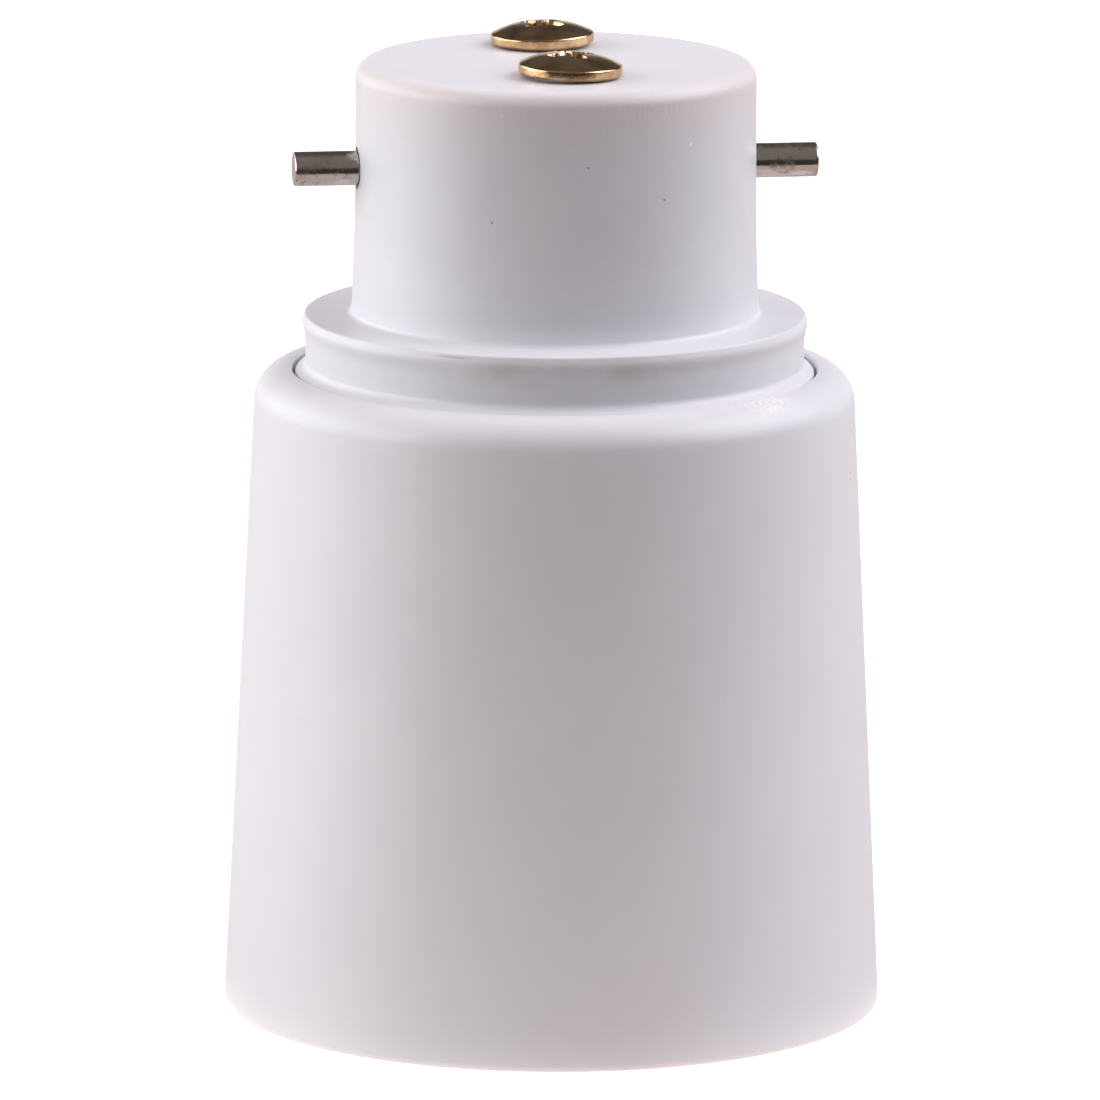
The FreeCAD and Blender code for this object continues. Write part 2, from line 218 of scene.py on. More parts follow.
def run_tree(obj, tree, values):
    """Gives obj the plain mesh that a tree makes of it with these sizes."""
    modifier = obj.modifiers.new(tree.name, "NODES")
    modifier.node_group = tree
    for item in tree.interface.items_tree:
        if item.in_out == "INPUT" and item.name in values:
            modifier[item.identifier] = values[item.name]
    depsgraph = bpy.context.evaluated_depsgraph_get()
    made = bpy.data.meshes.new_from_object(obj.evaluated_get(depsgraph))
    obj.modifiers.remove(modifier)
    obj.data = made
    crease(made)


def ring_tree(title, drilled):
    """Features set round the axis at even angles and joined to the wall, or cut from it."""
    tree, given, result = shape_tree(
        title, {"Feature": "Object", "Count": "Int", "First angle": "Float"})
    places = add(tree, "GeometryNodeMeshLine", {"Count": given["Count"], "Offset": (0, 0, 0)})
    index = add(tree, "GeometryNodeInputIndex")
    pitch = add(tree, "ShaderNodeMath", {0: 2 * math.pi, 1: given["Count"]}, operation="DIVIDE")
    turn = add(tree, "ShaderNodeMath", {0: index, 1: pitch, 2: given["First angle"]},
               operation="MULTIPLY_ADD")
    rotation = add(tree, "ShaderNodeCombineXYZ", {"Z": turn})
    feature = add(tree, "GeometryNodeObjectInfo", {"Object": given["Feature"]})
    ring = add(tree, "GeometryNodeInstanceOnPoints", {
        "Points": places, "Instance": feature.outputs["Geometry"], "Rotation": rotation})
    if drilled:
        cutters = add(tree, "GeometryNodeRealizeInstances", {0: ring})
        whole = add(tree, "GeometryNodeMeshBoolean", {0: given["Geometry"], 1: cutters},
                    operation="DIFFERENCE", solver="EXACT")
    else:
        whole = add(tree, "GeometryNodeJoinGeometry", {0: ring})
        tree.links.new(given["Geometry"], whole.inputs[0])
    close_tree(tree, given, result, whole)
    return tree


set_round = ring_tree("features set round the axis", False)


def ring_of(obj, feature, count, first, material, tree=set_round):
    """Sets a feature round the axis, or drills it with that tree, and deletes its pattern."""
    run_tree(obj, tree, {"Feature": feature, "Count": count, "First angle": math.radians(first),
                         "Material": material})
    bpy.data.objects.remove(feature)


def linear(colour):
    """Linear RGBA of an sRGB hex colour."""
    channels = [int(colour[i:i + 2], 16) / 255 for i in (1, 3, 5)]
    return [c / 12.92 if c <= 0.04045 else ((c + 0.055) / 1.055) ** 2.4 for c in channels] + [1.0]


def per_metre(size_mm):
    """Texture scale that gives a pattern of this size."""
    return 1 / (size_mm * MM)


def new_material(name):
    """Empty material; returns it, its tree and the piece's own coordinates."""
    material = bpy.data.materials.new(name)
    material.use_nodes = True
    tree = material.node_tree
    tree.nodes.clear()
    return material, tree, add(tree, "ShaderNodeTexCoord").outputs["Object"]


def mark(tree, place, colour, centre, half, tint, share, grain):
    """Soft spot of another tone, at a place and with half sizes in millimetres, broken up by
    noise of that grain unless it is 0."""
    away = add(tree, "ShaderNodeVectorMath", {0: place, 1: Vector(centre) * MM}, operation="SUBTRACT")
    scaled = add(tree, "ShaderNodeVectorMath", {0: away, 1: Vector(half) * MM}, operation="DIVIDE")
    far = add(tree, "ShaderNodeVectorMath", {0: scaled}, operation="LENGTH")
    amount = add(tree, "ShaderNodeMapRange", {0: far.outputs["Value"], 1: 1.0, 2: 0.4, 4: share})
    if grain:
        noise = add(tree, "ShaderNodeTexNoise",
                    {"Vector": place, "Scale": per_metre(grain), "Detail": 3.0})
        patch = add(tree, "ShaderNodeMapRange", {0: noise, 1: 0.4, 2: 0.62})
        amount = add(tree, "ShaderNodeMath", {0: amount, 1: patch}, operation="MULTIPLY")
    mixed = add(tree, "ShaderNodeMix", {0: amount, 6: colour, 7: linear(tint)}, data_type="RGBA")
    return mixed.outputs[2]


def moulded_pbt(name, base, marks, worn=None):
    """White PBT straight from a fine-grained mould: satin, faintly lilac, a little uneven in
    tone, with a few dark specks of burnt resin and the marks that are named for the piece.
    The mould's grain is drawn at 0.16 mm, coarser than the real one, so that it shows.
    The function worn, where given, changes colour and relief where the piece is worn."""
    material, tree, place = new_material(name)
    cloud = add(tree, "ShaderNodeTexNoise", {"Vector": place, "Scale": per_metre(9.0), "Detail": 3.0})
    tone = add(tree, "ShaderNodeMapRange", {0: cloud, 1: 0.35, 2: 0.65})
    body = add(tree, "ShaderNodeMix", {0: tone, 6: linear(base[0]), 7: linear(base[1])},
               data_type="RGBA")
    cells = add(tree, "ShaderNodeTexVoronoi", {"Vector": place, "Scale": per_metre(2.6)})
    dot = add(tree, "ShaderNodeMapRange",
              {0: cells.outputs["Distance"], 1: 0.016, 2: 0.034, 3: 1.0, 4: 0.0})
    pick = add(tree, "ShaderNodeSeparateColor", {0: cells.outputs["Color"]})
    rare = add(tree, "ShaderNodeMath", {0: pick, 1: 0.92}, operation="GREATER_THAN")
    speck = add(tree, "ShaderNodeMath", {0: dot, 1: rare}, operation="MULTIPLY")
    specked = add(tree, "ShaderNodeMix", {0: speck, 6: body.outputs[2], 7: linear("#8a7c80")},
                  data_type="RGBA")
    mould = add(tree, "ShaderNodeTexNoise", {"Vector": place, "Scale": per_metre(0.16), "Detail": 2.0})
    colour = specked.outputs[2]
    relief = add(tree, "ShaderNodeMath", {0: mould, 1: 0.006}, operation="MULTIPLY")
    for centre, half, tint, share, grain in marks:
        colour = mark(tree, place, colour, centre, half, tint, share, grain)
    if worn:
        colour, relief = worn(tree, place, colour, relief)
    bump = add(tree, "ShaderNodeBump", {"Height": relief, "Distance": MM})
    gloss = add(tree, "ShaderNodeMapRange", {0: cloud, 1: 0.3, 2: 0.7, 3: 0.36, 4: 0.44})
    surface = add(tree, "ShaderNodeBsdfPrincipled", {
        "Base Color": colour, "Roughness": gloss, "IOR": 1.52, "Normal": bump})
    add(tree, "ShaderNodeOutputMaterial", {0: surface})
    return material


scuff = ((10.1, -11.5, 35.5), (2.4, 2.4, 0.5), "#fbf6f0", 0.7, 0.22)
skirt_white = moulded_pbt("white PBT, skirt moulding", ("#dfe0e6", "#dcdce3"), [scuff])


def skirt_inner_r(z):
    """Radius of the skirt's tapered inside at a height."""
    low = rim_r - skirt_rim_wall
    return low + (skirt_bore_r - low) * z / shelf_z


skirt = turned("outer_skirt_wall", [
    (skirt_inner_r(0), 0, 0.3), (rim_r, 0, 0.45), (shoulder_r, seam_z, shoulder_round),
    (lip_r, seam_z, 0.15), (lip_r, lip_under_z, 0), (skirt_bore_r, lip_under_z, 0)])
hooked_rib = slab("hooked rib", [
    (skirt_bore_r, shelf_z, 0), (skirt_bore_r, hook_top_z, 0), (hook_tip_r, hook_top_z, 0.08),
    (hook_tip_r, hook_top_z - hook_face_h, 0.1), (skirt_bore_r + hook_heel, hook_low_z, 0),
    (skirt_inner_r(hook_low_z) + rib_root, hook_low_z, 0),
    (skirt_bore_r + rib_root, shelf_z, 0)], rib_t)
plain_rib = slab("plain rib", [
    (skirt_bore_r, shelf_z, 0), (skirt_bore_r, rib_toe_z, 0),
    (skirt_inner_r(rib_toe_z) + rib_root, rib_toe_z, 0),
    (skirt_bore_r + rib_root, shelf_z, 0)], rib_t)
ring_of(skirt, hooked_rib, ribs_of_a_kind, hooked_rib_turn, skirt_white)
ring_of(skirt, plain_rib, ribs_of_a_kind, plain_rib_turn, skirt_white)
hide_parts("outer_skirt")
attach(skirt, "adapter")


# Cap body: hollow bayonet cap, flared collar and socket barrel, injection moulded in white
# PBT in one piece. The skirt's lip closes on the foot of its collar at the seam.
cap_r = 11.0
cap_top_z = 52.7
cap_end_round = 0.9
cap_draft = 0.04
draft_top_z = 48.2
cap_flare = 0.16
flare_h = 4.6
collar_top_z = 38.7
collar_r = 13.915
collar_edge_z = collar_top_z - 0.5
collar_edge_in = 0.15
waist_r = 13.7
waist_widening = 0.05
waist_top_z = collar_top_z - 1.1
waist_foot_z = seam_z + 0.15
collar_base_r = 14.375
collar_foot_r = collar_base_r - 0.1
collar_foot_z = seam_z - 0.15
cavity_r = 9.2
cavity_top_z = 49.45
wide_r = 12.0
wide_z = 36.7
ledge_z = 31.5
barrel_r = 14.0
barrel_out_r = 15.2
barrel_z = 3.6
mouth_z = 4.5
pin_z = 46.95
pin_root_r = 1.15
pin_root_in = 7.3
pin_hole_gap = 0.01
pin_hole_end_gap = 0.1
pin_hole_len = 5
screw_y = 5.4
seat_z = 52.9
seat_foot_z = 52.2
seat_r = 2.0
hole_r = 1.6
hole_low_z = 48
hole_high_z = 54
hole_facets = 48
bead_r = 13.7
bead_root = 0.3
bead_low_z = 3.7
bead_tip_z = 4.11
bead_top_z = 4.46
bead_w = 5.8
boss_in = 0.7
boss_out_r = 10.1
boss_drop = 2.55
boss_root = 0.5
boss_w = 5.0
key_in_r = 11.0
key_out_r = 14.3
key_low_z = 30.3
key_root = 0.3
key_w = 2.4
worn_from_z = 48.2
worn_most_z = 52.3
worn_to_z = 52.5
unworn_z = 52.69


def tumbled_edge(tree, place, colour, relief):
    """The cap's last few millimetres, tumbled matt with faint upright strokes and handled to
    a warm tone, most at the rounded edge. The strokes are drawn coarse enough to show."""
    height = add(tree, "ShaderNodeSeparateXYZ", {0: place}).outputs[2]
    near = add(tree, "ShaderNodeMapRange", {0: height, 1: worn_from_z * MM, 2: worn_most_z * MM},
               interpolation_type="SMOOTHSTEP")
    below = add(tree, "ShaderNodeMapRange", {0: height, 1: unworn_z * MM, 2: worn_to_z * MM})
    share = add(tree, "ShaderNodeMath", {0: near, 1: below}, operation="MULTIPLY")
    drawn = add(tree, "ShaderNodeMapping", {"Vector": place, "Scale": (1.0, 1.0, 0.22)})
    strokes = add(tree, "ShaderNodeTexNoise",
                  {"Vector": drawn, "Scale": per_metre(0.14), "Detail": 2.0})
    stroke = add(tree, "ShaderNodeMapRange", {0: strokes, 1: 0.4, 2: 0.64})
    soil = add(tree, "ShaderNodeMath", {0: stroke, 1: 0.3, 2: 0.5}, operation="MULTIPLY_ADD")
    amount = add(tree, "ShaderNodeMath", {0: soil, 1: share}, operation="MULTIPLY")
    soiled = add(tree, "ShaderNodeMix", {0: amount, 6: colour, 7: linear("#e2d8d7")}, data_type="RGBA")
    depth = add(tree, "ShaderNodeMath", {0: stroke, 1: share}, operation="MULTIPLY")
    rubbed = add(tree, "ShaderNodeMath", {0: depth, 1: 0.004, 2: relief}, operation="MULTIPLY_ADD")
    return soiled.outputs[2], rubbed


drill_round = ring_tree("holes drilled round the axis", True)
smear = ((-1.6, -13.8, 37.8), (8.0, 5.0, 1.1), "#cbbebb", 0.55, 2.6)
scratch = ((-7.3, -11.8, 38.5), (1.6, 1.2, 0.1), "#b4a6a8", 0.5, 0)
dark_specks = [((-4.9, -9.9, 45.5), (0.1, 0.1, 0.1), "#7d7377", 0.8, 0),
               ((0.2, -11.0, 48.6), (0.08, 0.08, 0.08), "#7d7377", 0.8, 0),
               ((4.5, -10.0, 46.6), (0.12, 0.12, 0.1), "#7d7377", 0.8, 0)]
pale_nicks = [((-4.4, -10.1, 51.4), (0.12, 0.12, 0.16), "#ffffff", 0.9, 0),
              ((6.1, -9.2, 49.5), (0.12, 0.12, 0.16), "#ffffff", 0.9, 0)]
cap_white = moulded_pbt("white PBT, cap moulding", ("#e0e1e7", "#dcdce3"),
                        [smear, scratch] + dark_specks + pale_nicks, tumbled_edge)
cap = turned("cap_body_wall", [
    (0, cavity_top_z, 0), (cavity_r, cavity_top_z, 0.6), (cavity_r, wide_z, 0),
    (wide_r, wide_z, 0.6), (wide_r, ledge_z, 0), (barrel_r, ledge_z, 0),
    (barrel_r, barrel_z, 0.25), (barrel_out_r, barrel_z, 0.25), (barrel_out_r, shelf_z, 0),
    (collar_base_r, shelf_z, 0), (collar_foot_r, collar_foot_z, 0.2),
    (waist_r, waist_foot_z, 0.5), (waist_r + waist_widening, waist_top_z, 2.0),
    (collar_r, collar_edge_z, 1.2), (collar_r - collar_edge_in, collar_top_z, 0.35),
    (cap_r + cap_draft + cap_flare, collar_top_z, 0.3),
    (cap_r + cap_draft, collar_top_z + flare_h, 0), (cap_r, draft_top_z, 0),
    (cap_r, cap_top_z, cap_end_round), (0, cap_top_z, 0)])
pin_hole_r = pin_root_r + pin_hole_gap
pin_hole = turned("pin hole", [
    (0, 0, 0), (pin_hole_r, 0, 0), (pin_hole_r, pin_hole_len, 0), (0, pin_hole_len, 0)],
    hole_facets)
pin_hole_start = Vector((pin_root_in - pin_hole_end_gap, 0, pin_z)) * MM
pin_hole.data.transform(Matrix.Translation(pin_hole_start)
                        @ Matrix.Rotation(math.pi / 2, 4, "Y"))
ring_of(cap, pin_hole, 2, 0, cap_white, drill_round)
to_screw = Matrix.Translation(Vector((screw_y, 0, 0)) * MM)
screw_hole = turned("screw hole", [
    (0, hole_low_z, 0), (hole_r, hole_low_z, 0), (hole_r, hole_high_z, 0), (0, hole_high_z, 0)],
    hole_facets)
screw_hole.data.transform(to_screw)
ring_of(cap, screw_hole, 2, 90, cap_white, drill_round)
seat = turned("screw seat", [
    (hole_r, seat_foot_z, 0), (seat_r, seat_foot_z, 0), (seat_r, seat_z, 0),
    (hole_r, seat_z, 0)], hole_facets)
seat.data.transform(to_screw)
ring_of(cap, seat, 2, 90, cap_white)
bead = slab("shell bead", [
    (barrel_r + bead_root, bead_low_z, 0), (barrel_r, bead_low_z, 0), (bead_r, bead_tip_z, 0.05),
    (bead_r, bead_top_z, 0.05), (barrel_r + bead_root, bead_top_z, 0)], bead_w)
ring_of(cap, bead, 4, 45, cap_white)
boss = slab("pin boss", [
    (pin_root_in - boss_in, pin_z - boss_drop, 0.3), (boss_out_r, pin_z - boss_drop, 0),
    (boss_out_r, cavity_top_z + boss_root, 0),
    (pin_root_in - boss_in, cavity_top_z + boss_root, 0)], boss_w)
ring_of(cap, boss, 2, 0, cap_white)
key = slab("floor key", [
    (key_in_r, key_low_z, 0), (key_out_r, key_low_z, 0), (key_out_r, ledge_z + key_root, 0),
    (key_in_r, ledge_z + key_root, 0)], key_w)
ring_of(cap, key, 1, 0, cap_white)
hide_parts("cap_body")
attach(cap, "adapter")


# Side pins: nickel-plated drawn brass wire, cut and pressed into the cap's wall, with the
# knurled root inside it. They carry the adapter in the slots of a bayonet holder.
pin_r = 0.95
pin_root_x = 10.9
pin_tip_x = 14.5
pin_tip_round = 0.12
pin_facets = 64


def finish_metal(tree, colour, rough, relief, depth):
    """Ends a metal's tree with its colour, its roughness and a relief of that depth in mm."""
    bump = add(tree, "ShaderNodeBump", {"Height": relief, "Distance": depth * MM})
    surface = add(tree, "ShaderNodeBsdfPrincipled", {
        "Base Color": colour.outputs[2], "Metallic": 1.0, "Roughness": rough, "Normal": bump})
    add(tree, "ShaderNodeOutputMaterial", {0: surface})


def drawn_nickel():
    """Nickel plate over drawn wire: near-mirror, with draw lines along the pin, drawn coarse
    enough to show, and rubbed dull patches and small pits where it has been handled."""
    material, tree, place = new_material("nickel-plated drawn wire")
    along = add(tree, "ShaderNodeMapping", {"Vector": place, "Scale": (0.05, 1.0, 1.0)})
    lines = add(tree, "ShaderNodeTexNoise", {"Vector": along, "Scale": per_metre(0.09), "Detail": 2.0})
    patches = add(tree, "ShaderNodeTexNoise",
                  {"Vector": place, "Scale": per_metre(0.55), "Detail": 4.0})
    dull = add(tree, "ShaderNodeMapRange", {0: patches, 1: 0.5, 2: 0.68})
    pits = add(tree, "ShaderNodeTexVoronoi", {"Vector": place, "Scale": per_metre(0.5)})
    pit = add(tree, "ShaderNodeMapRange",
              {0: pits.outputs["Distance"], 1: 0.06, 2: 0.14, 3: 1.0, 4: 0.0})
    colour = add(tree, "ShaderNodeMix", {0: dull, 6: linear("#c6bbb2"), 7: linear("#a89f99")},
                 data_type="RGBA")
    pitted = add(tree, "ShaderNodeMix", {0: pit, 6: colour.outputs[2], 7: linear("#7d7570")},
                 data_type="RGBA")
    rough = add(tree, "ShaderNodeMapRange", {0: dull, 3: 0.13, 4: 0.36})
    level = add(tree, "ShaderNodeMath", {0: patches, 1: 3.0, 2: lines}, operation="MULTIPLY_ADD")
    finish_metal(tree, pitted, rough, level, 0.004)
    return material


pin_blank = turned("pin", [
    (0, pin_root_in, 0), (pin_root_r, pin_root_in, 0.2), (pin_root_r, pin_root_x, 0.05),
    (pin_r, pin_root_x, 0), (pin_r, pin_tip_x, pin_tip_round), (0, pin_tip_x, 0)],
    pin_facets, 0.4)
pin_blank.data.transform(Matrix.Translation((0, 0, pin_z * MM))
                         @ Matrix.Rotation(math.pi / 2, 4, "Y"))
pins = mesh_object("bayonet_pins", [], [])
ring_of(pins, pin_blank, 2, 0, drawn_nickel())
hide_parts("bayonet_pin_left", "bayonet_pin_right")
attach(pins, "adapter")


# Contact screws: brass-plated steel machine screws with domed heads. The heads are struck
# from the wire and the cross recess is punched in; they serve as the cap's end contacts.
head_r = 2.85
head_h = 1.17
head_top = seat_z + head_h
head_foot_in = 0.1
head_foot_h = 0.12
head_edge_h = head_h * 0.47
head_edge_round = 0.31
dome_knee_r = head_r * 0.61
dome_knee_drop = 0.13
dome_round = 3.5
head_facets = 168
head_step = 0.05
screw_r = 1.45
screw_tip_z = 45.45
screw_tip_cut = 0.35
shank_in_head = 0.1
shank_facets = 64
recess_depth = 1.15
recess_band = 0.9
wing_reach = 1.6
wing_slope_share = 0.65
wing_lift = 0.3
slot_w = 0.66
wall_soft = 0.05
pit_r = 0.35
pit_slope_w = 0.5
front_turn = 20
rear_turn = 50
front_lean = 1.5
rear_lean = -1.5
seated_in = 0.05


def brass_plate():
    """Bright brass plate on steel: warm mirror that has gone a little brown, and faintly
    rippled by the striking, which is drawn coarse enough to show."""
    material, tree, place = new_material("brass-plated steel")
    film = add(tree, "ShaderNodeTexNoise", {"Vector": place, "Scale": per_metre(1.3), "Detail": 4.0})
    share = add(tree, "ShaderNodeMapRange", {0: film, 1: 0.4, 2: 0.66})
    colour = add(tree, "ShaderNodeMix", {0: share, 6: linear("#d9b78c"), 7: linear("#a88660")},
                 data_type="RGBA")
    fine = add(tree, "ShaderNodeTexNoise", {"Vector": place, "Scale": per_metre(0.14), "Detail": 3.0})
    rough = add(tree, "ShaderNodeMapRange", {0: fine, 1: 0.35, 2: 0.7, 3: 0.12, 4: 0.24})
    finish_metal(tree, colour, rough, fine, 0.006)
    return material


def recess_tree():
    """Punches a cross recess into a head on the axis, adds the shank, and sets the screw in
    its place with its turn and lean. The recess is four wings whose floors rise outwards,
    and a cone round a flat pit. A row of the table gives a result, an operation and terms."""
    tree, given, result = shape_tree("cross recess", {
        "Shank": "Object", "Head top": "Float", "Recess depth": "Float", "Wing reach": "Float",
        "Slot width": "Float", "Turn": "Float", "Lean": "Float", "Place": "Vector"})
    here = add(tree, "GeometryNodeInputPosition")
    x, y, z = add(tree, "ShaderNodeSeparateXYZ", {0: here}).outputs
    known = {"x": x, "y": y, "z": z, "top": given["Head top"], "depth": given["Recess depth"],
             "wing": given["Wing reach"], "slot": given["Slot width"]}
    for name, operation, *terms in (
            ("x_size", "ABSOLUTE", "x"), ("y_size", "ABSOLUTE", "y"),
            ("along", "MAXIMUM", "x_size", "y_size"), ("across", "MINIMUM", "x_size", "y_size"),
            ("fall_h", "ADD", "depth", wing_lift * MM),
            ("fall_w", "MULTIPLY", "wing", wing_slope_share),
            ("fall", "DIVIDE", "fall_h", "fall_w"),
            ("from_end", "SUBTRACT", "wing", "along"),
            ("sloped", "MULTIPLY_ADD", "from_end", "fall", -wing_lift * MM),
            ("no_deeper", "MINIMUM", "sloped", "depth"),
            ("sink", "MAXIMUM", "no_deeper", 0.0),
            ("sunk_z", "SUBTRACT", "top", "sink"),
            ("wing_floor", "MINIMUM", "z", "sunk_z"),
            ("half_slot", "MULTIPLY", "slot", 0.5),
            ("wall_out", "ADD", "half_slot", wall_soft * MM),
            ("wall_in", "SUBTRACT", "half_slot", wall_soft * MM),
            ("x_2", "MULTIPLY", "x", "x"), ("y_2", "MULTIPLY", "y", "y"),
            ("r_2", "ADD", "x_2", "y_2"), ("r", "SQRT", "r_2"),
            ("past_pit", "SUBTRACT", "r", pit_r * MM), ("up_slope", "MAXIMUM", "past_pit", 0.0),
            ("steepness", "DIVIDE", "fall_h", pit_slope_w * MM),
            ("rise", "MULTIPLY", "up_slope", "steepness"),
            ("pit_z", "SUBTRACT", "top", "depth"), ("cone", "ADD", "pit_z", "rise"),
            ("band_z", "SUBTRACT", "top", recess_band * MM),
            ("on_top", "GREATER_THAN", "z", "band_z")):
        inputs = {i: known.get(term, term) for i, term in enumerate(terms)}
        known[name] = add(tree, "ShaderNodeMath", inputs, operation=operation)
    in_slot = add(tree, "ShaderNodeMapRange",
                  {0: known["across"], 1: known["wall_out"], 2: known["wall_in"]},
                  interpolation_type="SMOOTHSTEP")
    winged = add(tree, "ShaderNodeMix", {0: in_slot, 2: z, 3: known["wing_floor"]})
    punched = add(tree, "ShaderNodeMath", {0: winged, 1: known["cone"]}, operation="MINIMUM")
    moved = add(tree, "ShaderNodeCombineXYZ", {0: x, 1: y, 2: punched})
    head = add(tree, "GeometryNodeSetPosition", {
        "Geometry": given["Geometry"], "Selection": known["on_top"], "Position": moved})
    shank = add(tree, "GeometryNodeObjectInfo", {"Object": given["Shank"]})
    screw = add(tree, "GeometryNodeJoinGeometry", {0: shank.outputs["Geometry"]})
    tree.links.new(head.outputs[0], screw.inputs[0])
    spin = add(tree, "ShaderNodeCombineXYZ", {2: given["Turn"]})
    turned_in = add(tree, "GeometryNodeTransform", {"Geometry": screw, "Rotation": spin})
    lean = add(tree, "ShaderNodeCombineXYZ", {1: given["Lean"]})
    placed = add(tree, "GeometryNodeTransform", {
        "Geometry": turned_in, "Translation": given["Place"], "Rotation": lean})
    close_tree(tree, given, result, placed)
    return tree


cross_recess = recess_tree()
brass = brass_plate()
shank = turned("shank", [
    (0, screw_tip_z, 0), (screw_r - screw_tip_cut, screw_tip_z, 0),
    (screw_r, screw_tip_z + screw_tip_cut, 0), (screw_r, seat_z + shank_in_head, 0),
    (0, seat_z + shank_in_head, 0)], shank_facets)
for name, side, turn, lean in (("front", -1, front_turn, front_lean),
                               ("rear", 1, rear_turn, rear_lean)):
    screw = turned("contact_screw_" + name + "_brass", [
        (0, seat_z, 0), (head_r - head_foot_in, seat_z, 0), (head_r, seat_z + head_foot_h, 0.02),
        (head_r, seat_z + head_edge_h, head_edge_round),
        (dome_knee_r, head_top - dome_knee_drop, dome_round), (0, head_top, 0)],
        head_facets, head_step)
    tip = math.radians(lean)
    place = Vector((-seat_z * math.sin(tip), side * screw_y,
                    seat_z * (1 - math.cos(tip)) - seated_in))
    run_tree(screw, cross_recess, {
        "Shank": shank, "Head top": head_top * MM, "Recess depth": recess_depth * MM,
        "Wing reach": wing_reach * MM, "Slot width": slot_w * MM, "Turn": math.radians(turn),
        "Lean": tip, "Place": place * MM, "Material": brass})
    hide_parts("contact_screw_" + name)
    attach(screw, "adapter")
bpy.data.objects.remove(shank)


# Threaded shell: nickel-plated steel sheet, drawn to a cup, with the lamp thread rolled into
# its wall, the end turned in to a flange and a tab bent in for the rivet.
pitch = 3.629
root_r = 13.35
thread_depth = 1.1
run_out_turns = 0.45
entry_r = 13.6
entry_len = 5.5
end_len = 2.6
end_r = root_r - 0.2
floor_z = 28.5
sheet = 0.35
under_z = floor_z - sheet
flange_w = 2.15
tab_hole_r = 1.01
tab_r = 8.4
tab_half = 2.4
tab_overlap = 0.6
tab_top_y = end_r - flange_w + tab_overlap
tab_steps = 48
shell_rivet_y = 10.35
columns_a_turn = 180
wall_rows = 112
flange_rows = 6
level_within = 0.01


def rolled_sheet():
    """Nickel plate on rolled sheet: satin metal with faint lines round it from the rolls,
    drawn coarse enough to show."""
    material, tree, place = new_material("nickel-plated rolled sheet")
    round_lines = add(tree, "ShaderNodeMapping", {"Vector": place, "Scale": (0.08, 0.08, 1.0)})
    lines = add(tree, "ShaderNodeTexNoise",
                {"Vector": round_lines, "Scale": per_metre(0.15), "Detail": 3.0})
    cloud = add(tree, "ShaderNodeTexNoise", {"Vector": place, "Scale": per_metre(4.0), "Detail": 3.0})
    colour = add(tree, "ShaderNodeMix", {0: cloud, 6: linear("#d2cfca"), 7: linear("#bdb8b2")},
                 data_type="RGBA")
    rough = add(tree, "ShaderNodeMapRange", {0: cloud, 1: 0.3, 2: 0.7, 3: 0.2, 4: 0.34})
    finish_metal(tree, colour, rough, lines, 0.006)
    return material


